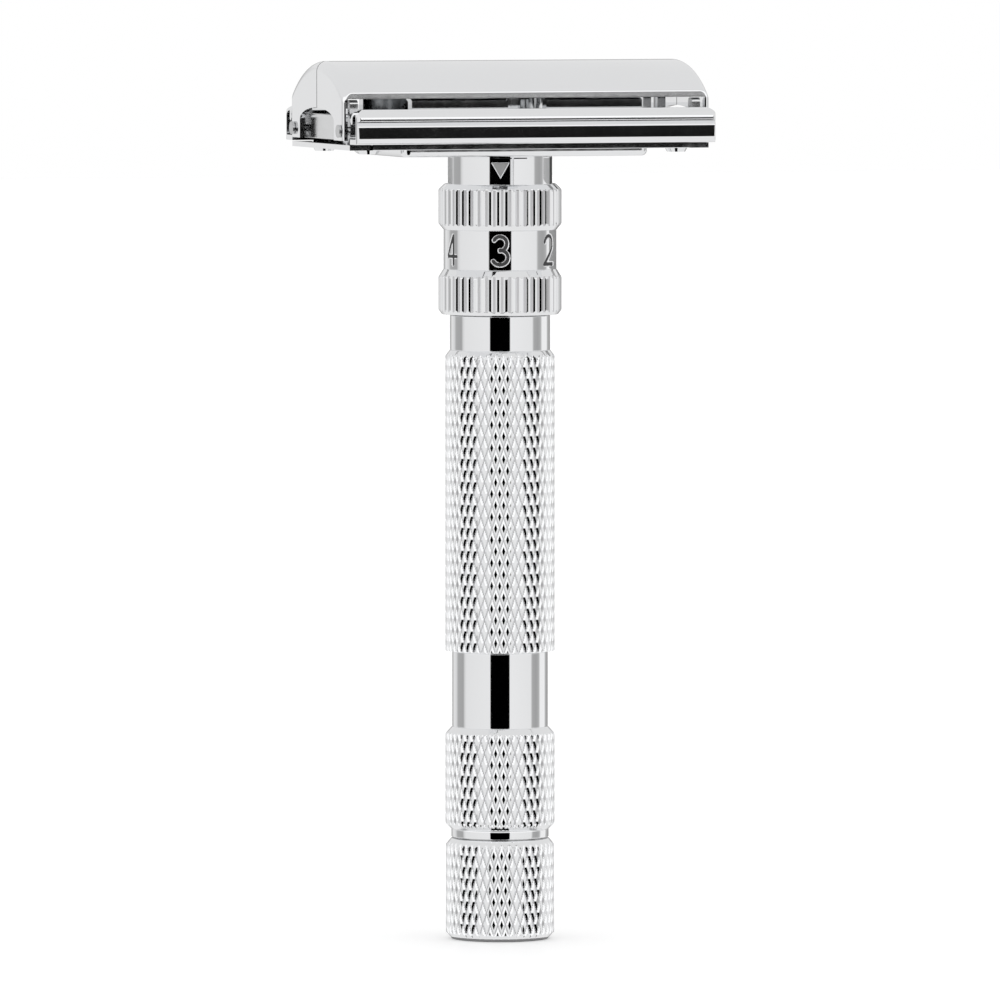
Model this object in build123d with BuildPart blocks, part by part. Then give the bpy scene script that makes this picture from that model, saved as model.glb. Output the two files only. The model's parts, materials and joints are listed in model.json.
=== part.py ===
from build123d import *
import os
from math import cos, radians, sin, sqrt

# A twist-to-open safety razor with an adjustable guard. Lengths are in millimetres.
# The origin is the middle of the knob's flat foot, +Z runs up the handle and the head lies along X.
# The knob turns a spindle whose thread lifts a carriage; the two doors hang on the carriage's ends.
# The numbered dial turns a nut that raises or lowers the guard round the blade bed.

os.makedirs("parts", exist_ok=True)

# ---- driving dimensions -------------------------------------------------------------------------

# handle, from the foot upwards
foot_r = 5.6
knob_r = 6.35
knob_band = (0.8, 11.1)
knob_top = 11.85
barrel_bottom = 12.0
groove_top = 12.93
lower_grip = (13.61, 24.12)
smooth_z = (24.98, 33.75)
main_grip = (33.88, 68.45)
collar_z = (69.14, 73.2)
grip_r = 6.4
smooth_r = 5.6
collar_r = 5.86
groove_r = 5.7

# dial
dial_bottom = 73.33
dial_top = 88.6
lower_band = (73.86, 77.68)
number_band = (78.65, 83.22)
upper_band = (83.94, 87.93)
dial_foot_r = 6.8
dial_rim_r = 6.5
dial_band_r = 7.2
number_band_r = 6.6
flute_count = 48
flute_r = 0.3

# head
head_half = 22.5
crest_z = 103.05
door_arc_r = 16.1
door_wall = 0.9
end_wall = 0.6
seam_gap = 0.08
lip_y = 9.9
lip_z = 98.82
door_foot_z = 94.0
arch_half = 6.5
arch_spring_z = 96.15
arch_rise = 1.5
hinge_y = 8.9
hinge_z = 95.1
hinge_pin_r = 0.5
lift = 4.3
mark_azimuth = 18.0

# blade bed, sized for a blade 43 long and 22 wide
bed_half = 19.0
bed_crest_z = 100.8
bed_edge_y = 10.0
bed_edge_z = 98.55
bed_wall = 0.7
bed_waist_y = 7.0
skirt_x = (2.35, 14.1)
skirt_wall = 1.5
skirt_foot_z = 96.3

# guard
guard_half = 22.0
guard_box = (15.1, 9.7)
guard_foot_z = 92.0
guard_floor_z = 92.9
guard_sheet = 0.6
bar_front_y = 13.95
bar_top_z = 97.66
neck_r = 6.1

# tubes, from the outside in
thread_tube_r = 5.2
core_tube_r = 4.2
core_bore_r = 3.5
lift_tube_r = 3.0
spindle_r = 2.1
running = 0.05

# ---- knob and spindle ---------------------------------------------------------------------------

knob_hub_r = 3.2
knob_wall_r = 5.0
knob_floor_z = 1.6
knob_lid = 1.2
screw_head_r = 1.9
screw_r = 0.9
screw_seat_z = 1.2
screw_head = 1.0
screw_length = 5.8
screw_slot = 0.5
spindle_foot_z = 3.0

with BuildPart() as knob_shell:
    with BuildSketch(Plane.XZ):
        with BuildLine():
            Polyline(
                (0, 0),
                (foot_r, 0),
                (knob_r, knob_band[0]),
                (knob_r, knob_band[1]),
                (groove_r, knob_top),
                (0, knob_top),
                close=True,
            )
        make_face()
    revolve(axis=Axis.Z)
    # a ring-shaped hollow lightens the knob and leaves a hub for the spindle
    with BuildSketch(Plane.XY.offset(knob_floor_z)):
        Circle(knob_wall_r)
        Circle(knob_hub_r, mode=Mode.SUBTRACT)
    extrude(amount=knob_top - knob_lid - knob_floor_z, mode=Mode.SUBTRACT)
    with BuildSketch(Plane.XY.offset(spindle_foot_z)):
        Circle(spindle_r)
    extrude(amount=knob_top - spindle_foot_z, mode=Mode.SUBTRACT)
    with BuildSketch(Plane.XY):
        Circle(screw_head_r)
    extrude(amount=screw_seat_z, mode=Mode.SUBTRACT)
    with BuildSketch(Plane.XY.offset(screw_seat_z)):
        Circle(screw_r)
    extrude(amount=spindle_foot_z - screw_seat_z, mode=Mode.SUBTRACT)

with BuildPart() as knob_screw:
    with BuildSketch(Plane.XY.offset(screw_seat_z - screw_head)):
        Circle(screw_head_r)
    extrude(amount=screw_head)
    with BuildSketch(Plane.XY.offset(screw_seat_z)):
        Circle(screw_r)
    extrude(amount=screw_length)
    with BuildSketch(Plane.XY.offset(screw_seat_z - screw_head)):
        Rectangle(2 * screw_head_r, screw_slot)
    extrude(amount=screw_slot, mode=Mode.SUBTRACT)

spindle_top = 88.0
clip_z = (17.0, 17.6)
clip_groove_r = 1.7
clip_r = 3.2
clip_opening = (2.2, 3.0)
clip_opening_y = -2.5

with BuildPart() as spindle:
    with BuildSketch(Plane.XY.offset(spindle_foot_z)):
        Circle(spindle_r)
    extrude(amount=spindle_top - spindle_foot_z)
    chamfer(spindle.edges().filter_by(GeomType.CIRCLE).sort_by(Axis.Z)[-1], 0.4)
    with BuildSketch(Plane.XY.offset(spindle_foot_z)):
        Circle(screw_r)
    extrude(amount=screw_seat_z + screw_length - spindle_foot_z, mode=Mode.SUBTRACT)
    with BuildSketch(Plane.XY.offset(clip_z[0])):
        Circle(spindle_r + 1)
        Circle(clip_groove_r, mode=Mode.SUBTRACT)
    extrude(amount=clip_z[1] - clip_z[0], mode=Mode.SUBTRACT)

# the C-shaped clip that keeps the spindle in its bush
with BuildPart() as spindle_circlip:
    with BuildSketch(Plane.XY.offset(clip_z[0])):
        Circle(clip_r)
        Circle(clip_groove_r, mode=Mode.SUBTRACT)
        with Locations((0, clip_opening_y)):
            Rectangle(*clip_opening, mode=Mode.SUBTRACT)
    extrude(amount=clip_z[1] - clip_z[0])

# ---- handle -------------------------------------------------------------------------------------

barrel_bore_r = 4.9
core_seat_z = 62.0
spigot_r = 5.3
spigot_top = 77.6
clip_ring_z = (75.6, 76.1)
clip_ring_r = (4.95, 5.6)
detent_z = 74.5
detent_hole_r = 0.42
detent_seat_x = core_tube_r + running

with BuildPart() as barrel:
    with BuildSketch(Plane.XZ):
        with BuildLine():
            Polyline(
                (0, barrel_bottom),
                (groove_r, barrel_bottom),
                (groove_r, groove_top),
                (grip_r, lower_grip[0]),
                (grip_r, lower_grip[1]),
                (smooth_r, smooth_z[0]),
                (smooth_r, smooth_z[1]),
                (grip_r, main_grip[0]),
                (grip_r, main_grip[1]),
                (collar_r, collar_z[0]),
                (collar_r, collar_z[1]),
                (spigot_r, collar_z[1]),
                (spigot_r, spigot_top),
                (0, spigot_top),
                close=True,
            )
        make_face()
    revolve(axis=Axis.Z)
    with BuildSketch(Plane.XY.offset(barrel_bottom)):
        Circle(barrel_bore_r)
    extrude(amount=core_seat_z - barrel_bottom, mode=Mode.SUBTRACT)
    with BuildSketch(Plane.XY.offset(core_seat_z)):
        Circle(core_tube_r)
    extrude(amount=spigot_top - core_seat_z, mode=Mode.SUBTRACT)
    # groove for the dial's retaining ring
    with BuildSketch(Plane.XY.offset(clip_ring_z[0])):
        Circle(spigot_r + 1)
        Circle(clip_ring_r[0], mode=Mode.SUBTRACT)
    extrude(amount=clip_ring_z[1] - clip_ring_z[0], mode=Mode.SUBTRACT)
    # blind pocket for the detent ball and its spring
    with BuildSketch(Plane.YZ.offset(detent_seat_x)):
        with Locations((0, detent_z)):
            Circle(detent_hole_r)
    extrude(amount=spigot_r, mode=Mode.SUBTRACT)

bush_top = 17.0
bush_chamfer = 0.3
washer_gap = 0.02

with BuildPart() as barrel_bush:
    with BuildSketch(Plane.XY.offset(barrel_bottom)):
        Circle(barrel_bore_r)
        Circle(spindle_r + running, mode=Mode.SUBTRACT)
    extrude(amount=bush_top - barrel_bottom)
    chamfer(barrel_bush.edges().filter_by(GeomType.CIRCLE).group_by(Axis.Z)[-1], bush_chamfer)

with BuildPart() as thrust_washer:
    with BuildSketch(Plane.XY.offset(knob_top + washer_gap)):
        Circle(knob_wall_r)
        Circle(spindle_r + running, mode=Mode.SUBTRACT)
    extrude(amount=barrel_bottom - knob_top - washer_gap)

# the tube that carries the blade bed; its top is slotted so that the crossbar can rise through it
crossbar_half_y = 1.6
crossbar_z = (94.1, 95.4)
slot_depth = 0.3
slot_half_y = crossbar_half_y + 0.1
bed_ceiling_z = crossbar_z[1] + lift + 0.1

with BuildPart() as core_tube:
    with BuildSketch(Plane.XY.offset(core_seat_z)):
        Circle(core_tube_r)
        Circle(core_bore_r, mode=Mode.SUBTRACT)
    extrude(amount=bed_ceiling_z - core_seat_z)
    with BuildSketch(Plane.XY.offset(crossbar_z[0] - slot_depth)):
        Rectangle(4 * core_tube_r, 2 * slot_half_y)
    extrude(amount=bed_ceiling_z - crossbar_z[0] + slot_depth, mode=Mode.SUBTRACT)

# two keys on the tube stop the guard from turning
key_z = (88.0, 90.5)
key_width = 1.2
key_reach = 0.2

with BuildPart() as guard_keys:
    with BuildSketch(Plane.XY.offset(key_z[0])):
        Rectangle(key_width, 2 * (thread_tube_r - key_reach))
        Circle(core_tube_r, mode=Mode.SUBTRACT)
    extrude(amount=key_z[1] - key_z[0])

# ---- dial ---------------------------------------------------------------------------------------

dial_nut_z = (78.6, 85.6)
dial_nut_r = 5.9
nut_pocket_z = 78.1
neck_bore_z = 86.0
spigot_bore_r = spigot_r + running
ring_groove_gap = 0.1
flute_centre_r = dial_band_r + 0.06
click_r = 0.3
click_depth = 1.8

with BuildPart() as dial_ring:
    with BuildSketch(Plane.XZ):
        with BuildLine():
            Polyline(
                (spigot_bore_r, dial_bottom),
                (dial_foot_r, dial_bottom),
                (dial_band_r, lower_band[0]),
                (dial_band_r, lower_band[1]),
                (number_band_r, number_band[0]),
                (number_band_r, number_band[1]),
                (dial_band_r, upper_band[0]),
                (dial_band_r, upper_band[1]),
                (dial_rim_r, dial_top),
                (neck_r + running, dial_top),
                (neck_r + running, neck_bore_z),
                (dial_nut_r, neck_bore_z),
                (dial_nut_r, nut_pocket_z),
                (spigot_bore_r, nut_pocket_z),
                close=True,
            )
        make_face()
    revolve(axis=Axis.Z)
    # groove for the retaining ring
    with BuildSketch(Plane.XY.offset(clip_ring_z[0] - ring_groove_gap)):
        Circle(clip_ring_r[1] + running)
    extrude(amount=clip_ring_z[1] - clip_ring_z[0] + 2 * ring_groove_gap, mode=Mode.SUBTRACT)
    # finger flutes round both bands
    with BuildSketch(Plane.XY.offset(dial_bottom)):
        with PolarLocations(flute_centre_r, flute_count):
            Circle(flute_r)
    extrude(amount=lower_band[1] - dial_bottom, mode=Mode.SUBTRACT)
    with BuildSketch(Plane.XY.offset(upper_band[0])):
        with PolarLocations(flute_centre_r, flute_count):
            Circle(flute_r)
    extrude(amount=dial_top - upper_band[0], mode=Mode.SUBTRACT)
    # six click notches inside, one for each number
    with BuildSketch(Plane.XY.offset(dial_bottom)):
        with PolarLocations(spigot_bore_r, 6):
            Circle(click_r)
    extrude(amount=click_depth, mode=Mode.SUBTRACT)

with BuildPart() as dial_nut:
    with BuildSketch(Plane.XY.offset(dial_nut_z[0])):
        Circle(dial_nut_r)
        Circle(thread_tube_r + running, mode=Mode.SUBTRACT)
    extrude(amount=dial_nut_z[1] - dial_nut_z[0])

ring_opening = (2.0, 2.5)

with BuildPart() as dial_retaining_ring:
    with BuildSketch(Plane.XY.offset(clip_ring_z[0])):
        Circle(clip_ring_r[1])
        Circle(clip_ring_r[0], mode=Mode.SUBTRACT)
        with Locations((0, clip_ring_r[1])):
            Rectangle(*ring_opening, mode=Mode.SUBTRACT)
    extrude(amount=clip_ring_z[1] - clip_ring_z[0])

detent_ball_r = 0.38

with BuildPart() as detent_ball:
    with Locations((spigot_r - detent_ball_r, 0, detent_z)):
        Sphere(detent_ball_r)

detent_spring_r = (0.2, 0.34)
detent_spring_length = 0.25

# a short coil spring drawn as a closed ring stack, in the bottom of the detent pocket
with BuildPart() as detent_spring:
    with BuildSketch(Plane.YZ.offset(detent_seat_x)):
        with Locations((0, detent_z)):
            Circle(detent_spring_r[1])
            Circle(detent_spring_r[0], mode=Mode.SUBTRACT)
    extrude(amount=detent_spring_length)

# ---- guard --------------------------------------------------------------------------------------

wall = 0.8
guard_floor_top = guard_floor_z + guard_sheet
box_top_z = 95.8
bar_inner_y = 11.4
step_y = 11.6
shelf_z = 93.6
belly_r = 0.7
belly_y = 13.8
belly_z = (shelf_z + belly_r, 95.5)
crease_z = 96.14
crease_depth = 0.5
brow_r = 1.3
end_cut_x = 19.4
bar_end_r = 0.7
corner_r = 1.1
hook_z = 96.7
hook_foot_z = 96.2
tray_corner_r = 1.0
tray_foot_r = 0.6
step_bevel = 0.06
dimple_x, dimple_y = 18.9, 8.4
dimple_r = 1.35
dimple_depth = 0.5

with BuildPart() as guard_plate:
    # floor sheet between the two bars
    with BuildSketch(Plane.XY.offset(guard_floor_z)):
        Rectangle(2 * guard_half, 2 * step_y - 0.5)
    extrude(amount=guard_sheet)
    # the tray under the blade bed
    with BuildSketch(Plane.XY.offset(guard_foot_z)):
        RectangleRounded(2 * guard_box[0], 2 * guard_box[1], tray_corner_r)
    extrude(amount=box_top_z - guard_foot_z)
    fillet(guard_plate.faces().sort_by(Axis.Z)[0].edges(), tray_foot_r)
    with BuildSketch(Plane.XY.offset(guard_foot_z + wall)):
        Rectangle(2 * (guard_box[0] - wall), 2 * (guard_box[1] - wall))
    extrude(amount=box_top_z, mode=Mode.SUBTRACT)
    # the tray's end walls are cut down so that the crossbar passes over them
    with BuildSketch(Plane.XY.offset(guard_floor_top)):
        Rectangle(4 * guard_box[0], 2 * (guard_box[1] - wall))
    extrude(amount=box_top_z, mode=Mode.SUBTRACT)
    # each bar is a rolled edge on a raised shelf, open towards the blade bed
    with BuildSketch(Plane.YZ.offset(-guard_half)):
        with BuildLine():
            shelf_in = step_y - guard_sheet
            shelf_top = shelf_z + guard_sheet
            diagonal = sqrt(0.5)
            belly_in_r = belly_r - 0.5 * guard_sheet
            brow_centre = (bar_front_y - brow_r, bar_top_z - brow_r)
            roll_r = (brow_centre[0] - bar_inner_y) / 2
            roll_top = (bar_inner_y + 2 * roll_r, bar_top_z)
            belly_foot = (belly_y - belly_r, shelf_z)
            belly_low = (belly_y, belly_z[0])
            belly_high = (belly_y - 0.04, belly_z[1])
            crease_low = (belly_y - 0.2, crease_z - 0.2)
            crease_in = (bar_front_y - crease_depth, crease_z)
            brow_low = (bar_front_y - 0.05, crease_z + 0.16)
            brow_mid = (brow_centre[0] + brow_r * cos(radians(38)), brow_centre[1] + brow_r * sin(radians(38)))
            hook_out = (bar_inner_y, hook_z)
            hook_in = (bar_inner_y + guard_sheet, hook_z)
            wall_high = (belly_y - guard_sheet, hook_z - 0.2)
            wall_low = (belly_y - guard_sheet, shelf_top + 0.2)
            Line((shelf_in, guard_floor_z), (step_y - step_bevel, guard_floor_z))
            Line((step_y - step_bevel, guard_floor_z), (step_y, guard_floor_z + step_bevel))
            Line((step_y, guard_floor_z + step_bevel), (step_y, shelf_z))
            Line((step_y, shelf_z), belly_foot)
            ThreePointArc(
                belly_foot,
                (belly_y - belly_r * (1 - diagonal), belly_z[0] - belly_r * diagonal),
                belly_low,
            )
            Line(belly_low, belly_high)
            ThreePointArc(belly_high, (belly_y - 0.08, crease_z - 0.38), crease_low)
            Line(crease_low, crease_in)
            Line(crease_in, brow_low)
            ThreePointArc(brow_low, brow_mid, roll_top)
            ThreePointArc(roll_top, (bar_inner_y + 0.3, bar_top_z - 0.3), hook_out)
            Line(hook_out, (bar_inner_y, hook_foot_z))
            ThreePointArc(
                (bar_inner_y, hook_foot_z),
                (bar_inner_y + guard_sheet / 2, hook_foot_z - guard_sheet / 2),
                (bar_inner_y + guard_sheet, hook_foot_z),
            )
            Line((bar_inner_y + guard_sheet, hook_foot_z), hook_in)
            ThreePointArc(hook_in, ((hook_in[0] + wall_high[0]) / 2, bar_top_z - guard_sheet), wall_high)
            Line(wall_high, wall_low)
            ThreePointArc(wall_low, (wall_low[0] - 0.06, shelf_top + 0.06), (wall_low[0] - 0.2, shelf_top))
            Line((wall_low[0] - 0.2, shelf_top), (shelf_in, shelf_top))
            Line((shelf_in, shelf_top), (shelf_in, guard_floor_z))
        make_face()
        mirror(about=Plane.YZ)
    extrude(amount=2 * guard_half)
    # under the four ends of the bars the floor is cut back
    with BuildSketch(Plane.XY.offset(guard_foot_z)):
        cut_x = guard_half - end_cut_x
        cut_y = bar_front_y - shelf_in
        with GridLocations(2 * (end_cut_x + cut_x / 2), 2 * (shelf_in + cut_y / 2), 2, 2):
            Rectangle(cut_x, cut_y)
    extrude(amount=shelf_z - guard_foot_z, mode=Mode.SUBTRACT)
    # seen from above, the four ends of the bars are rounded
    with BuildSketch(Plane.XY.offset(guard_foot_z)):
        RectangleRounded(2 * guard_half, 2 * bar_front_y, bar_end_r)
    extrude(amount=bar_top_z - guard_foot_z, mode=Mode.INTERSECT)
    # seen from the front, the ends of the bars have rounded top corners
    with BuildSketch(Plane.XZ):
        with Locations((0, bar_top_z - 5)):
            RectangleRounded(2 * guard_half, 10, corner_r)
    extrude(amount=30, both=True, mode=Mode.INTERSECT)
    # central hole for the threaded tube
    with BuildSketch(Plane.XY.offset(guard_foot_z)):
        Circle(thread_tube_r)
    extrude(amount=wall, mode=Mode.SUBTRACT)
    # four pressed dimples under the end plates
    with BuildSketch(Plane.XY.offset(guard_floor_z)):
        with GridLocations(2 * dimple_x, 2 * dimple_y, 2, 2):
            Circle(dimple_r)
    extrude(amount=-dimple_depth, taper=30)

thread_tube_z = (79.0, 93.3)
thread_rim = 0.5
key_slot_z = (87.5, 91.2)
key_slot_width = key_width + 0.1

with BuildPart() as guard_thread_tube:
    with BuildSketch(Plane.XY.offset(thread_tube_z[0])):
        Circle(thread_tube_r)
        Circle(core_tube_r + running, mode=Mode.SUBTRACT)
    extrude(amount=thread_tube_z[1] - thread_tube_z[0])
    with BuildSketch(Plane.XY.offset(key_slot_z[0])):
        Rectangle(key_slot_width, 4 * thread_tube_r)
    extrude(amount=key_slot_z[1] - key_slot_z[0], mode=Mode.SUBTRACT)
    # rolled-over rim that holds the guard down on the neck
    with BuildSketch(Plane.XY.offset(guard_foot_z + wall)):
        Circle(thread_tube_r + thread_rim)
        Circle(core_tube_r + running, mode=Mode.SUBTRACT)
    extrude(amount=thread_tube_z[1] - guard_foot_z - wall)

mark_size = 2.2
mark_depth = 0.25
mark_z = 90.6
sleeve_foot_z = 86.6

with BuildPart() as neck_sleeve:
    with BuildSketch(Plane.XY.offset(sleeve_foot_z)):
        Circle(neck_r)
        Circle(thread_tube_r, mode=Mode.SUBTRACT)
    extrude(amount=guard_foot_z - sleeve_foot_z)
    # the setting mark, a triangle that points down at the dial's numbers
    toward = (-sin(radians(mark_azimuth)), -cos(radians(mark_azimuth)), 0)
    mark_plane = Plane(
        origin=(toward[0] * neck_r, toward[1] * neck_r, mark_z),
        x_dir=(cos(radians(mark_azimuth)), -sin(radians(mark_azimuth)), 0),
        z_dir=toward,
    )
    with BuildSketch(mark_plane):
        RegularPolygon(mark_size / sqrt(3), 3, rotation=-90)
    extrude(amount=-mark_depth, mode=Mode.SUBTRACT)

# ---- blade bed ----------------------------------------------------------------------------------

bed_drop = bed_crest_z - bed_edge_z
bed_arc_r = (bed_edge_y**2 + bed_drop**2) / (2 * bed_drop)
rib_half_x = 18.0
rib_half_y = 1.3
rib_foot_z = 100.4
rib_top_z = 101.35
rib_corner_r = 0.6
hub_r = 5.6
hub_foot_z = 96.0

with BuildPart() as blade_bed:
    # arched plate whose top is the blade's seat
    with BuildSketch(Plane.YZ.offset(-bed_half)):
        with Locations((0, bed_crest_z - bed_arc_r)):
            Circle(bed_arc_r)
            Circle(bed_arc_r - bed_wall, mode=Mode.SUBTRACT)
        with Locations((0, bed_crest_z)):
            Rectangle(2 * bed_edge_y, 2 * (bed_drop + 2 * bed_wall), mode=Mode.INTERSECT)
    extrude(amount=2 * bed_half)
    # the plate is waisted at both ends and in the middle
    with BuildSketch(Plane.XY.offset(skirt_foot_z)):
        skirt_length = skirt_x[1] - skirt_x[0]
        Rectangle(2 * bed_half, 2 * bed_waist_y)
        with GridLocations(skirt_x[0] + skirt_x[1], 2 * bed_edge_y - bed_waist_y, 2, 2):
            Rectangle(skirt_length, bed_waist_y)
    extrude(amount=rib_top_z - skirt_foot_z, mode=Mode.INTERSECT)
    # four skirts stiffen its long edges
    with BuildSketch(Plane.XY.offset(skirt_foot_z)):
        with GridLocations(skirt_x[0] + skirt_x[1], 2 * bed_edge_y - skirt_wall, 2, 2):
            Rectangle(skirt_length, skirt_wall)
    extrude(amount=bed_edge_z - skirt_foot_z)
    # rib that enters the slot in the middle of the blade
    with BuildSketch(Plane.XY.offset(rib_foot_z)):
        RectangleRounded(2 * rib_half_x, 2 * rib_half_y, rib_corner_r)
    extrude(amount=rib_top_z - rib_foot_z)
    # hub over the core tube
    with BuildSketch(Plane.XY.offset(hub_foot_z)):
        Circle(hub_r)
    extrude(amount=bed_ceiling_z - hub_foot_z)
    with BuildSketch(Plane.XY.offset(hub_foot_z)):
        Circle(core_tube_r)
    extrude(amount=bed_ceiling_z - hub_foot_z, mode=Mode.SUBTRACT)
    # channel in which the crossbar rises
    with BuildSketch(Plane.XY.offset(hub_foot_z)):
        Rectangle(3 * bed_half, 2 * slot_half_y)
    extrude(amount=bed_ceiling_z - hub_foot_z, mode=Mode.SUBTRACT)

# ---- carriage -----------------------------------------------------------------------------------

yoke_inner_x = 20.5
yoke_outer_x = 21.5
yoke_half_y = 9.7
yoke_top_z = 96.8
lift_screw_r = 0.7
lift_nut_z = (66.0, 72.0)
lift_tube_bottom = 70.0
lift_bore_depth = 20.0
lift_hole_depth = 2.8
lift_screw_length = 2.6
countersink_r = 1.3
cross_slot = (3.0, 0.35)
cross_slot_depth = 0.3

with BuildPart() as lift_nut:
    with BuildSketch(Plane.XY.offset(lift_nut_z[0])):
        Circle(core_bore_r - 0.1)
        Circle(spindle_r + running, mode=Mode.SUBTRACT)
    extrude(amount=lift_nut_z[1] - lift_nut_z[0])
    with BuildSketch(Plane.XY.offset(lift_tube_bottom)):
        Circle(lift_tube_r)
    extrude(amount=lift_nut_z[1] - lift_tube_bottom, mode=Mode.SUBTRACT)

with BuildPart() as lift_tube:
    with BuildSketch(Plane.XY.offset(lift_tube_bottom)):
        Circle(lift_tube_r)
    extrude(amount=crossbar_z[0] - lift_tube_bottom)
    with BuildSketch(Plane.XY.offset(lift_tube_bottom)):
        Circle(spindle_r + 0.2)
    extrude(amount=lift_bore_depth, mode=Mode.SUBTRACT)
    with BuildSketch(Plane.XY.offset(crossbar_z[0] - lift_hole_depth)):
        Circle(lift_screw_r)
    extrude(amount=lift_hole_depth, mode=Mode.SUBTRACT)

with BuildPart() as crossbar:
    with BuildSketch(Plane.XY.offset(crossbar_z[0])):
        Rectangle(2 * yoke_inner_x, 2 * crossbar_half_y)
    extrude(amount=crossbar_z[1] - crossbar_z[0])
    with Locations((0, 0, crossbar_z[1])):
        CounterSinkHole(lift_screw_r, countersink_r)

with BuildPart() as crossbar_screw:
    with BuildSketch(Plane.XY.offset(crossbar_z[0] - lift_screw_length)):
        Circle(lift_screw_r)
    extrude(amount=crossbar_z[1] - crossbar_z[0] + lift_screw_length)
    with BuildSketch(Plane.XY.offset(crossbar_z[1])):
        Circle(countersink_r)
    extrude(amount=lift_screw_r - countersink_r, taper=45)
    with BuildSketch(Plane.XY.offset(crossbar_z[1] - cross_slot_depth)):
        Rectangle(*cross_slot)
    extrude(amount=cross_slot_depth, mode=Mode.SUBTRACT)

ear_y = (8.0, 9.4)
ear_top_z = 98.7
ear_corner_r = 0.45
yoke_corner_r = 0.9

with BuildPart() as yoke_left:
    with BuildSketch(Plane.YZ.offset(-yoke_outer_x)):
        with Locations((0, (door_foot_z + yoke_top_z) / 2)):
            RectangleRounded(2 * yoke_half_y, yoke_top_z - door_foot_z, yoke_corner_r)
        # ears that stand behind the doors' lips
        ear_middle_y = (ear_y[0] + ear_y[1]) / 2
        with Locations((-ear_middle_y, (hinge_z + ear_top_z) / 2), (ear_middle_y, (hinge_z + ear_top_z) / 2)):
            RectangleRounded(ear_y[1] - ear_y[0], ear_top_z - hinge_z, ear_corner_r)
        with Locations((-hinge_y, hinge_z), (hinge_y, hinge_z)):
            Circle(hinge_pin_r, mode=Mode.SUBTRACT)
    extrude(amount=yoke_outer_x - yoke_inner_x)

with BuildPart() as yoke_right:
    add(yoke_left.part.mirror(Plane.YZ))

# four pins on which the doors swing, with a thin head at the outer end of each
pin_head_r = 0.75
pin_head = 0.25
pin_reach_x = head_half + 0.08

with BuildPart() as hinge_pins:
    for side in (-1, 1):
        with BuildSketch(Plane.YZ.offset(side * yoke_inner_x)):
            with Locations((-hinge_y, hinge_z), (hinge_y, hinge_z)):
                Circle(hinge_pin_r)
        extrude(amount=side * (pin_reach_x - yoke_inner_x))
        with BuildSketch(Plane.YZ.offset(side * pin_reach_x)):
            with Locations((-hinge_y, hinge_z), (hinge_y, hinge_z)):
                Circle(pin_head_r)
        extrude(amount=side * pin_head)

# ---- doors --------------------------------------------------------------------------------------

arc_centre_z = crest_z - door_arc_r
front_edge_r = 0.4
rim_edge_r = 1.2
dome_sky_z = crest_z + 1


def at_the_ends(edge):
    """True for an edge that lies in one of the head's two end planes."""
    return abs(abs(edge.center().X) - head_half) < 0.01


with BuildPart() as door_front:
    # domed shell from the seam to the lip
    with BuildSketch(Plane.YZ.offset(-head_half)):
        with Locations((0, arc_centre_z)):
            Circle(door_arc_r)
            Circle(door_arc_r - door_wall, mode=Mode.SUBTRACT)
        with Locations((-(seam_gap + lip_y) / 2, (lip_z + dome_sky_z) / 2)):
            Rectangle(lip_y - seam_gap, dome_sky_z - lip_z, mode=Mode.INTERSECT)
    extrude(amount=2 * head_half)
    # closed ends that reach down to the hinge pins
    for side in (-1, 1):
        with BuildSketch(Plane.YZ.offset(side * head_half)):
            with Locations((0, arc_centre_z)):
                Circle(door_arc_r)
            with Locations((-(seam_gap + lip_y) / 2, (door_foot_z + dome_sky_z) / 2)):
                Rectangle(lip_y - seam_gap, dome_sky_z - door_foot_z, mode=Mode.INTERSECT)
            with Locations((0, arch_spring_z)):
                Ellipse(arch_half, arch_rise, mode=Mode.SUBTRACT)
            with Locations((0, arch_spring_z - 5)):
                Rectangle(2 * arch_half, 10, mode=Mode.SUBTRACT)
            with Locations((-hinge_y, hinge_z)):
                Circle(hinge_pin_r + running, mode=Mode.SUBTRACT)
        extrude(amount=-side * end_wall)
    # rounded rims round the closed ends, then eased edges round the front face
    rims = door_front.edges().filter_by(GeomType.CIRCLE).filter_by(at_the_ends).sort_by(SortBy.LENGTH)[-2:]
    fillet(rims, rim_edge_r)
    front_edges = door_front.faces().sort_by(Axis.Y)[0].edges()
    lip_edge = front_edges.filter_by(Axis.X).sort_by(Axis.Z)[-1]
    corners = front_edges.filter_by(Axis.Z).filter_by(at_the_ends)
    fillet([lip_edge] + corners, front_edge_r)

with BuildPart() as door_back:
    add(door_front.part.mirror(Plane.XZ))

# ---- names and files ----------------------------------------------------------------------------

pieces = {
    "knob_shell": knob_shell,
    "knob_screw": knob_screw,
    "spindle": spindle,
    "spindle_circlip": spindle_circlip,
    "barrel": barrel,
    "barrel_bush": barrel_bush,
    "thrust_washer": thrust_washer,
    "core_tube": core_tube,
    "guard_keys": guard_keys,
    "dial_ring": dial_ring,
    "dial_nut": dial_nut,
    "dial_retaining_ring": dial_retaining_ring,
    "detent_ball": detent_ball,
    "detent_spring": detent_spring,
    "guard_plate": guard_plate,
    "guard_thread_tube": guard_thread_tube,
    "neck_sleeve": neck_sleeve,
    "blade_bed": blade_bed,
    "lift_nut": lift_nut,
    "lift_tube": lift_tube,
    "crossbar": crossbar,
    "crossbar_screw": crossbar_screw,
    "yoke_left": yoke_left,
    "yoke_right": yoke_right,
    "hinge_pins": hinge_pins,
    "door_front": door_front,
    "door_back": door_back,
}
for name, piece in pieces.items():
    piece.part.label = name
    export_step(piece.part, f"parts/{name}.step")
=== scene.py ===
import json
import math

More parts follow.
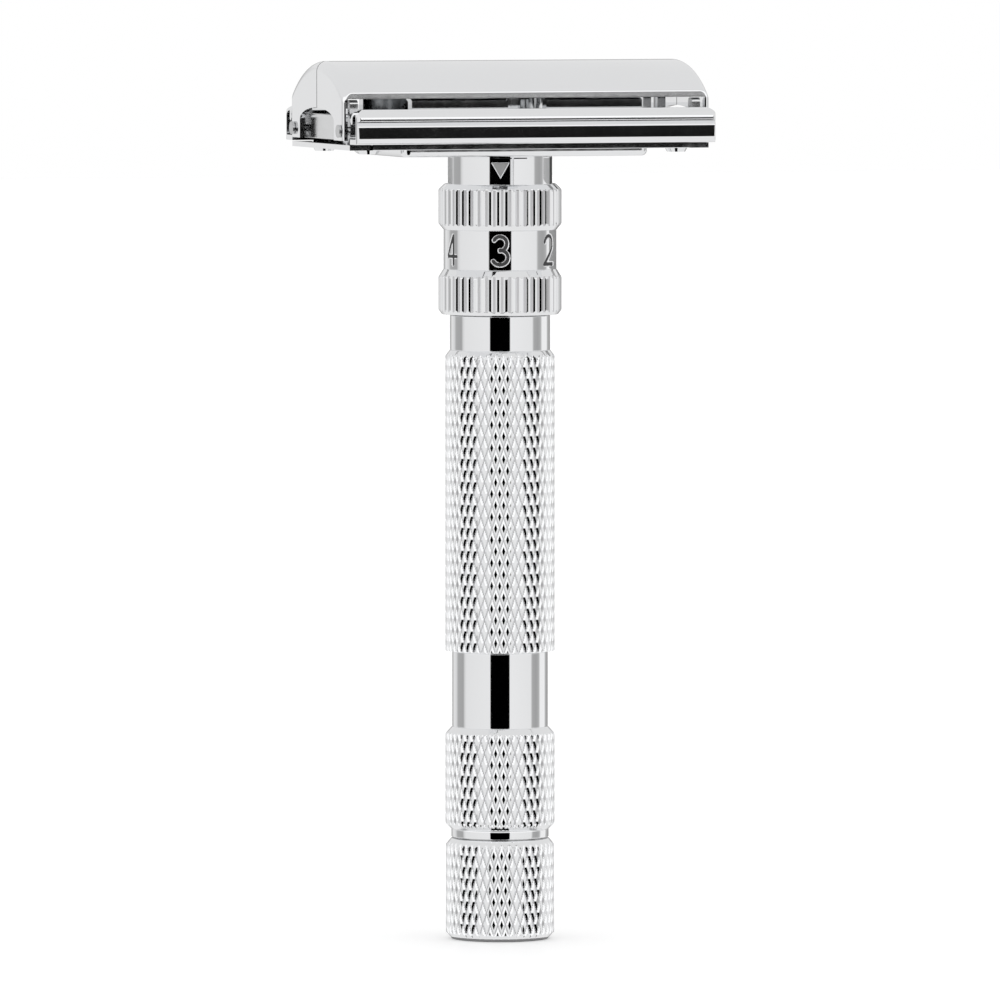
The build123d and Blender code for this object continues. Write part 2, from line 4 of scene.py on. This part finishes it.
import bpy
import numpy as np
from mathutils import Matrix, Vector


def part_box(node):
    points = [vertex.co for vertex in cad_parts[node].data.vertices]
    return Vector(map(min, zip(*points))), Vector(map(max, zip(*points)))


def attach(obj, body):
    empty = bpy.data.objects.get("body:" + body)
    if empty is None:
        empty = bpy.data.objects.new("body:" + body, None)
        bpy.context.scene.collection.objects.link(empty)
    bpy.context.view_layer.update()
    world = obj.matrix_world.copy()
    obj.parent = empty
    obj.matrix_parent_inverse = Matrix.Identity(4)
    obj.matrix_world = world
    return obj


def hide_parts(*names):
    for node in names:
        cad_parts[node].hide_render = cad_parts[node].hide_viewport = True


# A chromed safety razor that stands on its knob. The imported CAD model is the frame; this script gives
# it a camera, a light tent, its knurled, fluted and numbered skins, and its metals.

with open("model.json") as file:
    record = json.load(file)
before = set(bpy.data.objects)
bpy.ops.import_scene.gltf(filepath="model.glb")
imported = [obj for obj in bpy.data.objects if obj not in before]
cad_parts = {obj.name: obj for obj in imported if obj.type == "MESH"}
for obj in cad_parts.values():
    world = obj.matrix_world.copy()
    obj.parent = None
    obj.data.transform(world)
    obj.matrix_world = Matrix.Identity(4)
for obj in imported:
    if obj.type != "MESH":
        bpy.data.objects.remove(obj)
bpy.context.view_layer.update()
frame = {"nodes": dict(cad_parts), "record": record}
MM = 0.001


def span(node):
    """Lowest and highest Z of a CAD node, and its largest half width, in millimetres."""
    low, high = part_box(node)
    return low[2] / MM, high[2] / MM, max(high[0], high[1]) / MM


# ---- sizes, in millimetres ----------------------------------------------------------------------

barrel_low, spigot_top, grip_r = span("barrel")
knob_low, knob_high, knob_r = span("knob_shell")
dial_low, dial_high, dial_r = span("dial_ring")
sleeve_low, sleeve_high, neck_r = span("neck_sleeve")
spindle_r = span("spindle")[2]
bush_r = span("barrel_bush")[2]
nut_low, nut_high, nut_r = span("dial_nut")
tube_r = 5.2

foot_r = 5.6
smooth_r = 5.6
collar_r = 5.86
groove_r = 5.7
spigot_r = 5.3
core_r = 4.2
core_seat = 62.0
groove_top = 12.93
lower_grip = (13.61, 24.12)
smooth_part = (24.98, 33.75)
main_grip = (33.88, 68.45)
collar = (69.14, 73.2)
knob_band = (0.8, 11.1)
screw_head_r = 1.9
screw_seat_z = 1.2
screw_r = 0.9
spindle_foot_z = 3.0

dial_foot_r = 6.8
dial_rim_r = 6.5
number_r = 6.6
lower_band = (73.86, 77.68)
number_band = (78.65, 83.22)
upper_band = (83.94, 87.93)

# corner rounding, running clearance, how far the barrel's core is tucked in under its grips, and how
# far under a cut surface a ring is left plain
corner_r = 0.09
running = 0.05
tuck_r, tuck_z = 0.3, 0.2
skin_test = 0.02

# the knurl: flat-topped diamonds between two families of crossing grooves
diamonds = 43
diamond_height = 2.69
diamond_steps = 10
diamond_flat = 0.4
knurl_depth = 0.2
knurl_sharp = 18
knob_phase, knob_turn_phase = 4.72, -0.15

# the dial's finger flutes, as fractions of one flute from its crest
flutes = 48
flute_depth = 0.145
flute_crest = 0.1375
flute_root = 0.3375
flute_turn = 0.29
flute_side = (0.04, flute_crest, 0.24, flute_root, 0.42)
flute_marks = (-0.5, *[-t for t in reversed(flute_side)], *flute_side)
flute_sharp = 25
chamfer_step = 0.12

# the cut figures and the setting mark; reach and steps (fine, coarse) are angles in radians
wall_share = 0.8
digit_height = 3.3
digit_width = 2.0
digit_half_stroke = 0.27
digit_bevel = 0.08
digit_depth = 0.09
digit_spacing = math.radians(60)
digit_reach = 0.2
digit_steps = (0.0055, 0.03)
digit_rows = 0.04
mark_side = 2.2
mark_z = 90.6
mark_depth = 0.09
mark_bevel = 0.09
mark_reach = 0.22
mark_steps = (0.005, 0.04)
mark_rows = 0.03
mark_span = (-1.5, 1.0)
mark_azimuth = math.radians(18.0)
facing = -math.pi / 2 - mark_azimuth

# ---- metals -------------------------------------------------------------------------------------


def metal(name, colour, roughness, seed, grain=0.0, grain_axis=(1, 1, 1), tone=0.03):
    """Polished or drawn metal: a little colour variation, and wipe marks and scratches in its gloss."""
    mat = bpy.data.materials.new(name)
    mat.use_nodes = True
    nodes, links = mat.node_tree.nodes, mat.node_tree.links
    shader = nodes["Principled BSDF"]
    shader.inputs["Metallic"].default_value = 1.0
    place = nodes.new("ShaderNodeTexCoord")
    shift = nodes.new("ShaderNodeMapping")
    shift.inputs["Location"].default_value = (seed, 2 * seed, 3 * seed)
    links.new(place.outputs["Object"], shift.inputs["Vector"])

    cloud = nodes.new("ShaderNodeTexNoise")
    cloud.inputs["Scale"].default_value = 90.0
    cloud.inputs["Detail"].default_value = 5.0
    links.new(shift.outputs["Vector"], cloud.inputs["Vector"])

    tint = nodes.new("ShaderNodeMix")
    tint.data_type = "RGBA"
    tint.inputs["A"].default_value = (*colour, 1.0)
    tint.inputs["B"].default_value = (*[c * (1.0 - tone) for c in colour], 1.0)
    links.new(cloud.outputs["Fac"], tint.inputs["Factor"])
    links.new(tint.outputs["Result"], shader.inputs["Base Color"])

    stretch = nodes.new("ShaderNodeMapping")
    stretch.inputs["Scale"].default_value = grain_axis
    links.new(shift.outputs["Vector"], stretch.inputs["Vector"])
    scratch = nodes.new("ShaderNodeTexNoise")
    scratch.inputs["Scale"].default_value = 900.0
    scratch.inputs["Detail"].default_value = 6.0
    scratch.inputs["Roughness"].default_value = 0.65
    links.new(stretch.outputs["Vector"], scratch.inputs["Vector"])

    blend = nodes.new("ShaderNodeMath")
    blend.operation = "MULTIPLY"
    links.new(cloud.outputs["Fac"], blend.inputs[0])
    links.new(scratch.outputs["Fac"], blend.inputs[1])
    rough = nodes.new("ShaderNodeMapRange")
    rough.inputs["From Min"].default_value = 0.1
    rough.inputs["From Max"].default_value = 0.45
    rough.inputs["To Min"].default_value = roughness[0]
    rough.inputs["To Max"].default_value = roughness[1]
    links.new(blend.outputs["Value"], rough.inputs["Value"])
    links.new(rough.outputs["Result"], shader.inputs["Roughness"])

    if grain:
        bump = nodes.new("ShaderNodeBump")
        bump.inputs["Strength"].default_value = grain
        bump.inputs["Distance"].default_value = 0.02 * MM
        links.new(scratch.outputs["Fac"], bump.inputs["Height"])
        links.new(bump.outputs["Normal"], shader.inputs["Normal"])
    return mat


CHROME = (0.90, 0.905, 0.915)
metals = {
    "door_chrome": metal("door_chrome", CHROME, (0.03, 0.10), 0.11),
    "guard_chrome": metal("guard_chrome", CHROME, (0.03, 0.10), 0.23),
    "neck_chrome": metal("neck_chrome", CHROME, (0.02, 0.07), 0.37),
    "dial_chrome": metal("dial_chrome", CHROME, (0.02, 0.08), 0.41),
    "handle_chrome": metal("handle_chrome", CHROME, (0.02, 0.08), 0.53),
    "knob_chrome": metal("knob_chrome", CHROME, (0.02, 0.08), 0.61),
    "bed_chrome": metal("bed_chrome", (0.74, 0.75, 0.76), (0.04, 0.10), 0.71),
    "carriage_steel": metal(
        "carriage_steel", (0.78, 0.785, 0.79), (0.12, 0.28), 0.83, grain=0.25, grain_axis=(1, 8, 1)
    ),
    "pin_steel": metal("pin_steel", (0.62, 0.625, 0.63), (0.18, 0.35), 0.97, grain=0.2),
    "tube_steel": metal(
        "tube_steel", (0.66, 0.66, 0.66), (0.2, 0.36), 1.07, grain=0.3, grain_axis=(8, 8, 1)
    ),
    "nut_brass": metal("nut_brass", (0.83, 0.63, 0.30), (0.16, 0.32), 1.13, grain=0.2, tone=0.12),
    "spring_steel": metal("spring_steel", (0.42, 0.43, 0.46), (0.2, 0.36), 1.21, grain=0.2),
}
dark_digit_floor = metal("digit_floor_dark", (0.035, 0.035, 0.037), (0.5, 0.7), 1.31)
satin = metal("mark_satin", (0.33, 0.33, 0.33), (0.5, 0.62), 1.43)
# painted light: the roots of the knurls and flutes wear a light matt grey in place of chrome, so they
# show light where the chrome mirrors dark lines
painted_light_roots = metal("root_light_paint", (0.5, 0.5, 0.51), (0.5, 0.7), 1.57)
for matt in (dark_digit_floor, satin, painted_light_roots):
    matt.node_tree.nodes["Principled BSDF"].inputs["Metallic"].default_value = 0.0
slot_of = {row["node"]: row["material_slot"] for row in frame["record"]["subparts"]}
for cad_name, thing in frame["nodes"].items():
    for holder in thing.material_slots:
        holder.material = metals[slot_of[cad_name]]

# ---- turned pieces ------------------------------------------------------------------------------


def eased(corners, radius=corner_r, steps=3):
    """A closed outline of (r, z) corners with every corner replaced by a small arc."""
    out = []
    count = len(corners)
    for i, here in enumerate(corners):
        here = Vector(here)
        back = Vector(corners[i - 1]) - here
        ahead = Vector(corners[(i + 1) % count]) - here
        reach = min(radius, 0.4 * back.length, 0.4 * ahead.length)
        start = here + back.normalized() * reach
        end = here + ahead.normalized() * reach
        for k in range(steps + 1):
            t = k / steps
            out.append(start * (1 - t) ** 2 + here * 2 * t * (1 - t) + end * t * t)
    return out


def with_rings(outline, heights):
    """The outline with extra rings at the given heights, on the stretches that climb."""
    out = []
    count = len(outline)
    for i, here in enumerate(outline):
        ahead = outline[(i + 1) % count]
        out.append(here)
        rise = ahead.y - here.y
        if rise > 0:
            inside = [z for z in heights if here.y + 1e-4 < z < ahead.y - 1e-4]
            out += [here.lerp(ahead, (z - here.y) / rise) for z in inside]
    return out


def turned(name, outline, angles, body, slot, node, skin=None, second=None, sharp=None, touch=3):
    """A closed solid of revolution. skin(angles, r, z) gives radii and marks points for a second
    material, which faces with at least touch marked corners wear."""
    rings, columns = len(outline), len(angles)
    points = np.empty((rings, columns, 3))
    marked = np.zeros((rings, columns), int)
    for i, (r, z) in enumerate(outline):
        radii = np.full(columns, float(r))
        if skin:
            radii, marked[i] = skin(angles, radii, z)
        points[i, :, 0] = radii * np.cos(angles)
        points[i, :, 1] = radii * np.sin(angles)
        points[i, :, 2] = z
    radius = np.hypot(points[:, :, 0], points[:, :, 1])
    faces = []
    stained = []
    for i in range(rings):
        j = (i + 1) % rings
        for k in range(columns):
            m = (k + 1) % columns
            a, b, c, d = i * columns + k, i * columns + m, j * columns + m, j * columns + k
            rise = radius[i, k] + radius[j, m] - radius[i, m] - radius[j, k]
            if abs(rise) < 1e-6:
                faces.append((a, b, c, d))
            elif rise > 0:
                faces += [(a, b, c), (a, c, d)]
            else:
                faces += [(a, b, d), (b, c, d)]
            hit = marked[i, k] + marked[i, m] + marked[j, m] + marked[j, k] >= touch
            stained += [hit] * (len(faces) - len(stained))
    mesh = bpy.data.meshes.new(name)
    mesh.from_pydata((points.reshape(-1, 3) * MM).tolist(), [], faces)
    mesh.materials.append(metals[slot])
    if second:
        mesh.materials.append(second)
        mesh.polygons.foreach_set("material_index", np.array(stained, np.int32))
    mesh.shade_smooth()
    if sharp:
        mesh.set_sharp_from_angle(angle=math.radians(sharp))
    thing = bpy.data.objects.new(name, mesh)
    bpy.context.collection.objects.link(thing)
    weights = thing.modifiers.new("flat faces stay flat", "WEIGHTED_NORMAL")
    weights.weight = 100
    weights.keep_sharp = True
    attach(thing, body)
    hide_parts(node)
    return thing


def even(columns, start=0.0):
    """Equal steps round a full turn, begun at a fraction of one diamond."""
    first = facing - start * 2 * math.pi / diamonds
    return first + np.linspace(0, 2 * math.pi, columns, endpoint=False)


def dense_at(centres, half, fine, coarse):
    """Steps round a full turn that are fine within half of each centre and coarse elsewhere."""
    out = []
    for i, centre in enumerate(centres):
        ahead = centres[(i + 1) % len(centres)] + (2 * math.pi if i == len(centres) - 1 else 0)
        out += list(np.arange(centre - half, centre + half, fine))
        gap = (ahead - half) - (centre + half)
        out += list(np.linspace(centre + half, ahead - half, int(gap / coarse) + 2)[:-1])
    return np.array(out)


def saw(t):
    """0 at whole numbers and 1 halfway between them."""
    return 2 * np.abs(t - np.round(t))


def knurled(crest_r, phase, turn_phase):
    """Flat-topped diamonds. Rows of them lie on heights phase + n / 2 diamond heights."""

    def skin(angles, radii, z):
        turn = diamonds * (angles - facing) / (2 * math.pi) + turn_phase
        climb = (z - phase) / diamond_height
        groove = np.maximum(saw(turn + climb), saw(turn - climb))
        drop = np.clip((groove - diamond_flat) / (1 - diamond_flat), 0, 1)
        cut = crest_r - knurl_depth * drop
        # the groove roots are marked for the painted light grey
        return np.minimum(radii, cut), (drop > 0.99) & (radii > cut)

    return skin


def knurl_rows(low, high, phase):
    """Heights of the mesh rings that follow the diamonds' edges."""
    step = diamond_height / diamond_steps
    return [phase + k * step for k in range(int((low - phase) / step), int((high - phase) / step) + 1)]


round_barrel = [
    (bush_r, barrel_low),
    (groove_r, barrel_low),
    (groove_r, groove_top),
    (groove_r - tuck_r, groove_top + tuck_z),
    (groove_r - tuck_r, smooth_part[0] - tuck_z),
    (smooth_r, smooth_part[0]),
    (smooth_r, smooth_part[1]),
    (smooth_r - tuck_r, smooth_part[1] + tuck_z),
    (smooth_r - tuck_r, collar[0] - tuck_z),
    (collar_r, collar[0]),
    (collar_r, collar[1]),
    (spigot_r, collar[1]),
    (spigot_r, spigot_top),
    (core_r, spigot_top),
    (core_r, core_seat),
    (bush_r, core_seat),
]
turned("barrel_core", eased(round_barrel), even(160), "handle", "handle_chrome", "barrel")

# height and radius at the foot, start and end of the knurl, height and radius at the top, phases
grip_inner_r = smooth_r - 0.4
grips = {
    "grip_main": (smooth_part[1], smooth_r, *main_grip, collar[0], collar_r, 33.7, 0.1),
    "grip_lower": (groove_top, groove_r, *lower_grip, smooth_part[0], smooth_r, 20.8, 0.1),
}
for name, (foot, low_r, start, end, top, high_r, phase, turn_phase) in grips.items():
    grip_outline = [
        (grip_inner_r, foot),
        (low_r, foot),
        (grip_r, start),
        (grip_r, end),
        (high_r, top),
        (grip_inner_r, top),
    ]
    turned(
        name,
        with_rings(eased(grip_outline), knurl_rows(foot, top, phase)),
        even(diamonds * diamond_steps, turn_phase),
        "handle",
        "handle_chrome",
        "barrel",
        knurled(grip_r, phase, turn_phase),
        second=painted_light_roots,
        sharp=knurl_sharp,
        touch=2,
    )

knob_outline = [
    (screw_head_r, knob_low),
    (foot_r, knob_low),
    (knob_r, knob_band[0]),
    (knob_r, knob_band[1]),
    (groove_r, knob_high),
    (spindle_r, knob_high),
    (spindle_r, spindle_foot_z),
    (screw_r, spindle_foot_z),
    (screw_r, screw_seat_z),
    (screw_head_r, screw_seat_z),
]
turned(
    "knob_skin",
    with_rings(eased(knob_outline), knurl_rows(knob_low, knob_high, knob_phase)),
    even(diamonds * diamond_steps, knob_turn_phase),
    "knob",
    "knob_chrome",
    "knob_shell",
    knurled(knob_r, knob_phase, knob_turn_phase),
    second=painted_light_roots,
    sharp=knurl_sharp,
    touch=2,
)

# ---- the dial: two fluted bands and a numbered one ----------------------------------------------


def fluted(angles, radii, z):
    """Finger flutes in everything that stands out beyond their roots."""
    turn = flutes * (angles - facing) / (2 * math.pi) + flute_turn
    slope = (saw(turn) / 2 - flute_crest) / (flute_root - flute_crest)
    cut = dial_r - flute_depth * np.clip(slope, 0, 1)
    # the flute roots are marked for the painted light grey
    return np.minimum(radii, cut), (slope > 0.999) & (radii > cut)


flute_steps = [k + t - flute_turn for k in range(flutes) for t in flute_marks]
flute_angles = facing + 2 * math.pi / flutes * np.array(flute_steps)
inner_r = number_r - 0.3
number_inner_r = inner_r - 0.2
lower_seat_z = nut_low - 0.5
upper_seat_z = nut_high + 0.4
bands = {
    "dial_lower": [
        (spigot_r + running, dial_low),
        (dial_foot_r, dial_low),
        (dial_r, lower_band[0]),
        (dial_r, lower_band[1]),
        (number_r, number_band[0]),
        (inner_r, number_band[0]),
        (inner_r, lower_seat_z),
        (spigot_r + running, lower_seat_z),
    ],
    "dial_upper": [
        (nut_r, number_band[1]),
        (number_r, number_band[1]),
        (dial_r, upper_band[0]),
        (dial_r, upper_band[1]),
        (dial_rim_r, dial_high),
        (neck_r + running, dial_high),
        (neck_r + running, upper_seat_z),
        (nut_r, upper_seat_z),
    ],
}
dial_rings = list(np.arange(dial_low, dial_high, chamfer_step))
for name, outline in bands.items():
    turned(
        name,
        with_rings(eased(outline), dial_rings),
        flute_angles,
        "dial",
        "dial_chrome",
        "dial_ring",
        fluted,
        second=painted_light_roots,
        sharp=flute_sharp,
    )


def bow(cx, cy, rx, ry, start, end, steps=14):
    """Points along part of an ellipse, angles in degrees."""
    turns = np.radians(np.linspace(start, end, steps))
    return [(cx + rx * math.cos(t), cy + ry * math.sin(t)) for t in turns]


# plain figures in a box from (-1, -1) to (1, 1), each a list of pen strokes
figures = {
    1: [[(-0.45, 0.62), (0.1, 1.0), (0.1, -1.0)]],
    2: [bow(0, 0.42, 0.9, 0.58, 165, -38) + [(-0.95, -1.0), (1.0, -1.0)]],
    3: [bow(-0.05, 0.5, 0.8, 0.5, 150, -90), bow(-0.05, -0.48, 0.95, 0.52, 90, -150)],
    4: [[(0.35, -1.0), (0.35, 1.0), (-0.95, -0.45), (0.95, -0.45)]],
    5: [[(0.75, 1.0), (-0.6, 1.0), (-0.75, 0.12)] + bow(-0.02, -0.36, 0.88, 0.64, 125, -150)],
    6: [bow(0.75, -0.35, 1.6, 1.42, 105, 180), bow(0, -0.4, 0.85, 0.6, 180, -180, 24)],
}


def stroke_distance(x, y, strokes):
    """Distance from each point to the nearest pen stroke."""
    best = np.full(x.shape, 1e9)
    for stroke in strokes:
        for (ax, ay), (bx, by) in zip(stroke, stroke[1:]):
            dx, dy = bx - ax, by - ay
            t = ((x - ax) * dx + (y - ay) * dy) / (dx * dx + dy * dy)
            t = np.clip(t, 0, 1)
            best = np.minimum(best, np.hypot(x - ax - t * dx, y - ay - t * dy))
    return best


number_mid = (number_band[0] + number_band[1]) / 2
shown_number = 3
digit_at = {number: facing - digit_spacing * (number - shown_number) for number in figures}


def numbered(angles, radii, z):
    """Six figures cut with sloping walls and a flat near-black floor."""
    if radii[0] < number_r - skin_test:
        return radii, np.zeros(len(angles), bool)
    near = np.full(len(angles), 1e9)
    height = np.full(len(angles), z - number_mid)
    for number, strokes in figures.items():
        off = (angles - digit_at[number] + math.pi) % (2 * math.pi) - math.pi
        scaled = [[(x * digit_width / 2, y * digit_height / 2) for x, y in stroke] for stroke in strokes]
        near = np.minimum(near, stroke_distance(off * number_r, height, scaled))
    depth = digit_depth * np.clip((digit_half_stroke - near) / digit_bevel, 0, 1)
    return radii - depth, near < digit_half_stroke - wall_share * digit_bevel


turned(
    "dial_numbers",
    with_rings(
        [Vector(c) for c in [
            (number_inner_r, number_band[0]),
            (number_r, number_band[0]),
            (number_r, number_band[1]),
            (number_inner_r, number_band[1]),
        ]],
        list(np.arange(*number_band, digit_rows)),
    ),
    dense_at(sorted(digit_at.values()), digit_reach, *digit_steps),
    "dial",
    "dial_chrome",
    "dial_ring",
    numbered,
    second=dark_digit_floor,
)

# ---- the neck with its setting mark -------------------------------------------------------------


def marked_neck(angles, radii, z):
    """A triangle that points down, cut with sloping walls and a satin floor."""
    if radii[0] < neck_r - skin_test:
        return radii, np.zeros(len(angles), bool)
    off = (angles - facing + math.pi) % (2 * math.pi) - math.pi
    x, y = np.abs(off * neck_r), z - mark_z
    inset = mark_side / (2 * math.sqrt(3))
    side = inset - (x * math.cos(math.radians(30)) - y * math.sin(math.radians(30)))
    inside = np.minimum(side, inset - y)
    return radii - mark_depth * np.clip(inside / mark_bevel, 0, 1), inside > wall_share * mark_bevel


neck_rings = list(np.arange(mark_z + mark_span[0], mark_z + mark_span[1], mark_rows))
sleeve_outline = [
    (tube_r, sleeve_low),
    (neck_r, sleeve_low),
    (neck_r, sleeve_high),
    (tube_r, sleeve_high),
]
turned(
    "neck_skin",
    with_rings(eased(sleeve_outline), neck_rings),
    dense_at([facing], mark_reach, *mark_steps),
    "guard",
    "neck_chrome",
    "neck_sleeve",
    marked_neck,
    second=satin,
)

# ---- floor, light tent and camera ---------------------------------------------------------------

camera_azimuth = math.radians(-18.5)
camera_distance = 1.5
camera_height = 0.132
picture_width = 0.1172
aim_z = 0.0515
floor_width = 6
toward = Vector((math.sin(camera_azimuth), -math.cos(camera_azimuth), 0))
picture_right = Vector((math.cos(camera_azimuth), math.sin(camera_azimuth), 0))


def plain(name, colour, roughness):
    """A plain matt stage material."""
    mat = bpy.data.materials.new(name)
    mat.use_nodes = True
    shader = mat.node_tree.nodes["Principled BSDF"]
    shader.inputs["Base Color"].default_value = (*colour, 1.0)
    shader.inputs["Roughness"].default_value = roughness
    return mat


def sheet(name, centre, width, height, facing_to, mat):
    """A flat stage panel that faces a point."""
    mesh = bpy.data.meshes.new(name)
    w, h = width / 2, height / 2
    mesh.from_pydata([(-w, -h, 0), (w, -h, 0), (w, h, 0), (-w, h, 0)], [], [(0, 1, 2, 3)])
    thing = bpy.data.objects.new(name, mesh)
    bpy.context.collection.objects.link(thing)
    thing.location = centre
    thing.rotation_euler = (Vector(facing_to) - Vector(centre)).to_track_quat("Z", "Y").to_euler()
    mesh.materials.append(mat)
    return thing


floor_white = plain("floor_white", (0.95, 0.95, 0.95), 0.5)
floor = sheet("floor", (0, 0, 0), floor_width, floor_width, (0, 0, 1), floor_white)
floor.visible_glossy = False
floor_shader = floor_white.node_tree.nodes["Principled BSDF"]
floor_shader.inputs["Emission Color"].default_value = (1, 1, 1, 1)
floor_shader.inputs["Emission Strength"].default_value = 0.12


def seen_only_in_chrome(thing):
    """Leaves a stage piece to the metal's reflections alone."""
    thing.visible_camera = False
    thing.visible_diffuse = False
    thing.visible_shadow = False


# cards in front of the head, which the guard's front bar and the doors' lip mirror: low, high, paint
dark = plain("card_black", (0.0, 0.0, 0.0), 1.0)
grey = plain("card_grey", (0.35, 0.35, 0.35), 1.0)
card_x, card_y, card_width = 0.011, -0.045, 0.056
cards = {
    "guard_card": (0.0915, 0.0981, dark),
    "lip_card": (0.0982, 0.0993, grey),
    "brow_card": (0.0993, 0.1015, dark),
}
for name, (low_z, high_z, mat) in cards.items():
    middle = (low_z + high_z) / 2
    card = sheet(name, (card_x, card_y, middle), card_width, high_z - low_z, (card_x, 0, middle), mat)
    seen_only_in_chrome(card)

# cards behind the neck and the numbered band, which their edges mirror: left, right, low, high, grey
back_distance = 0.02
back_cards = {
    "neck_card_left": (-0.032, -0.0054, 0.0875, 0.0916, 0.42),
    "neck_card_right": (0.022, 0.062, 0.0875, 0.0916, 0.42),
    "neck_card_edge": (0.0054, 0.022, 0.0875, 0.0916, 0.08),
    "number_card": (0.0054, 0.045, 0.0773, 0.0827, 0.33),
}
for name, (left, right, low_z, high_z, tone) in back_cards.items():
    middle = picture_right * (left + right) / 2 - toward * back_distance
    middle += Vector((0, 0, (low_z + high_z) / 2))
    mat = plain(name, (tone, tone, tone), 1.0)
    seen_only_in_chrome(sheet(name, middle, right - left, high_z - low_z, middle + toward, mat))

# a painted contact shadow: a dark grey disc just under the floor, seen only in reflections, stands for
# the darkness right under the foot, which the knob's lower edge mirrors
foot_shade_r, foot_shade_z, foot_shade_sides = 0.00592, -0.0001, 64
turns = [2 * math.pi * k / foot_shade_sides for k in range(foot_shade_sides)]
rim = [(foot_shade_r * math.cos(t), foot_shade_r * math.sin(t), foot_shade_z) for t in turns]
shade_mesh = bpy.data.meshes.new("foot_shade")
shade_mesh.from_pydata(rim, [], [tuple(range(foot_shade_sides))])
shade_mesh.materials.append(plain("shade_grey", (0.2, 0.2, 0.2), 1.0))
foot_shade = bpy.data.objects.new("foot_shade", shade_mesh)
bpy.context.collection.objects.link(foot_shade)
seen_only_in_chrome(foot_shade)

world = bpy.data.worlds.new("light_tent")
bpy.context.scene.world = world
world.use_nodes = True
tree = world.node_tree


def node(kind, operation=None, **inputs):
    """A world node with some of its inputs set."""
    made = tree.nodes.new(kind)
    if operation:
        made.operation = operation
    for key, value in inputs.items():
        made.inputs[key].default_value = value
    return made


def ramp(source, stops):
    """A colour ramp of greys over 0 to 1."""
    made = tree.nodes.new("ShaderNodeValToRGB")
    while len(made.color_ramp.elements) < len(stops):
        made.color_ramp.elements.new(0.5)
    for element, (position, value) in zip(made.color_ramp.elements, stops):
        element.position = position
        element.color = (value, value, value, 1)
    tree.links.new(source, made.inputs["Fac"])
    return made.outputs["Color"]


place = node("ShaderNodeTexCoord").outputs["Generated"]


def part_along(direction):
    """How much of the looked-in direction runs along a given one."""
    made = node("ShaderNodeVectorMath", "DOT_PRODUCT")
    made.inputs[1].default_value = direction
    tree.links.new(place, made.inputs[0])
    return made.outputs["Value"]


def mixed(share, a, b):
    """A mix of a and b, each a grey or another node's socket."""
    made = tree.nodes.new("ShaderNodeMix")
    made.data_type = "RGBA"
    for key, value in (("A", a), ("B", b)):
        if isinstance(value, float):
            made.inputs[key].default_value = (value, value, value, 1)
        else:
            tree.links.new(value, made.inputs[key])
    tree.links.new(share, made.inputs["Factor"])
    return made.outputs["Result"]


bearing = node("ShaderNodeMath", "ARCTAN2")
tree.links.new(part_along(picture_right), bearing.inputs[0])
tree.links.new(part_along(toward), bearing.inputs[1])
turned_to = node("ShaderNodeMapRange", **{"From Min": -math.pi, "From Max": math.pi})
tree.links.new(bearing.outputs["Value"], turned_to.inputs["Value"])
height = node("ShaderNodeMapRange", **{"From Min": -1.0, "From Max": 1.0})
tree.links.new(part_along((0, 0, 1)), height.inputs["Value"])


def by_bearing(stops):
    """Greys by bearing from the camera's own, -180 to 180 degrees from left to right."""
    return ramp(turned_to.outputs["Result"], [((angle + 180) / 360, value) for angle, value in stops])


def by_climb(stops):
    """Greys by climb, the sine of the elevation: -1 is straight down and 1 is straight up."""
    return ramp(height.outputs["Result"], [((sine + 1) / 2, value) for sine, value in stops])


# the tent's wall, with the greys as they show on the screen
gamma = 2.2
wall_stops = [
    (-180, 0.55), (-160, 0.72), (-145, 0.92), (-130, 0.86), (-122, 0.68), (-100, 0.66), (-95, 0.86),
    (-88, 0.92), (-30, 0.94), (30, 0.95), (80, 0.93), (85, 0.68), (98, 0.65), (108, 0.7), (114, 0.97),
    (136, 0.97), (142, 0.72), (160, 0.62), (180, 0.55),
]
wall = by_bearing([(angle, value ** gamma) for angle, value in wall_stops])

# black in front of the razor, from just above the horizon to far below it
front = by_bearing([(-180, 0), (-23.22, 0), (-22.86, 1), (22.86, 1), (23.22, 0)])
low = by_climb([(-0.94, 0), (-0.9, 1), (0.06, 1), (0.07, 0)])
lens_side = node("ShaderNodeMath", "MULTIPLY")
tree.links.new(front, lens_side.inputs[0])
tree.links.new(low, lens_side.inputs[1])

# overhead and underneath the tent is even
overhead = by_climb([(0.06, 0), (0.2, 1)])
beneath = by_climb([(-0.4, 1), (-0.16, 0)])
tent = mixed(overhead, wall, 0.8)
tent = mixed(beneath, tent, 0.86)

# a brighter band in front, above the black, lights the edge of the door
glow_height = by_climb([(0.06, 0), (0.09, 1), (0.44, 1), (0.54, 0)])
glow_side = by_bearing([(-100.8, 0), (-82.8, 1), (82.8, 1), (100.8, 0)])
glow = node("ShaderNodeMath", "MULTIPLY")
tree.links.new(glow_height, glow.inputs[0])
tree.links.new(glow_side, glow.inputs[1])
tent = mixed(glow.outputs["Value"], tent, 1.12)
tent = mixed(lens_side.outputs["Value"], tent, 0.0)

# the floor is lit a little brighter than white, and the backdrop behind everything is white
path = node("ShaderNodeLightPath")
shown = mixed(path.outputs["Is Camera Ray"], tent, 1.0)
lit = mixed(path.outputs["Is Diffuse Ray"], shown, 1.15)
backdrop = tree.nodes["Background"]
tree.links.new(lit, backdrop.inputs["Color"])

lens = bpy.data.cameras.new("camera")
lens.sensor_width = 36.0
aim = Vector((0, 0, aim_z))
stand = toward * camera_distance + Vector((0, 0, camera_height))
lens.lens = lens.sensor_width * (stand - aim).length / picture_width
lens.clip_end = 20.0
camera = bpy.data.objects.new("camera", lens)
bpy.context.collection.objects.link(camera)
camera.location = stand
camera.rotation_euler = (aim - stand).to_track_quat("-Z", "Y").to_euler()
bpy.context.scene.camera = camera
bpy.context.scene.view_settings.view_transform = "Standard"
